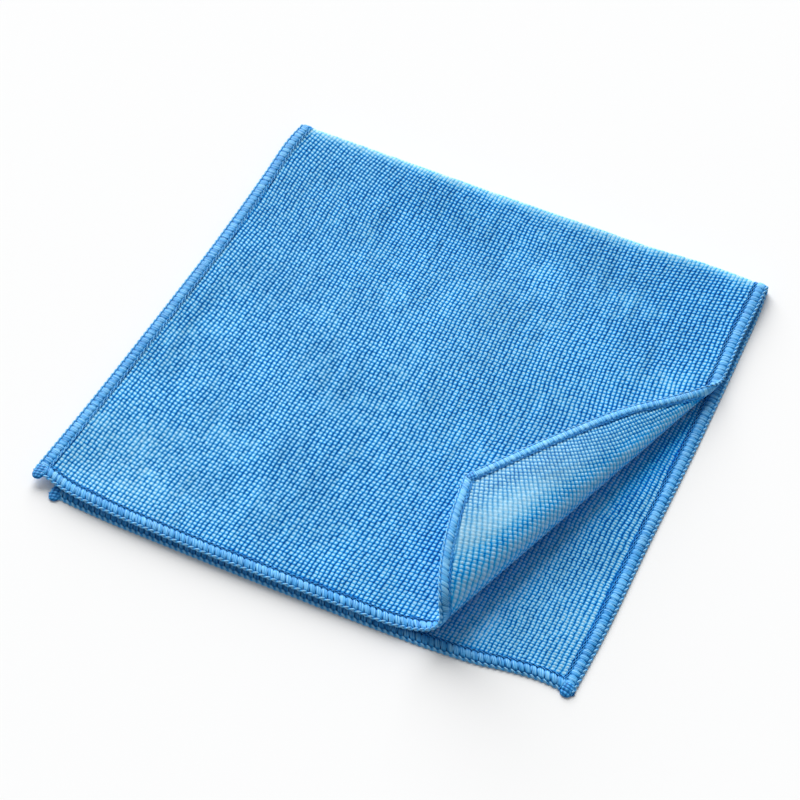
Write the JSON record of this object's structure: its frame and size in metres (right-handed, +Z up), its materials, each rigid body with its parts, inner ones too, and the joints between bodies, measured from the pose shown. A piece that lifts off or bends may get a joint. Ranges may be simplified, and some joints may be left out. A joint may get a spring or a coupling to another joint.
{
  "type": "microfibre cloth",
  "caption": "Knitted microfibre cleaning cloth with overlocked edges, folded once and laid flat with one front corner rolled back over it.",
  "frame": {"origin": "on the surface the cloth rests on, under the middle of its box", "axes": "+Z up from that surface, +X along the fold towards the turned-back corner, +Y towards the fold"},
  "size_m": [0.3116, 0.3056, 0.0283],
  "materials": {
    "microfibre_knit": "matt pearl-stitch knit in mid blue",
    "overlock_thread": "satin textured thread in mid blue"
  },
  "bodies": {
    "root": {"cloth": "microfibre_knit"}
  },
  "joints": []
}
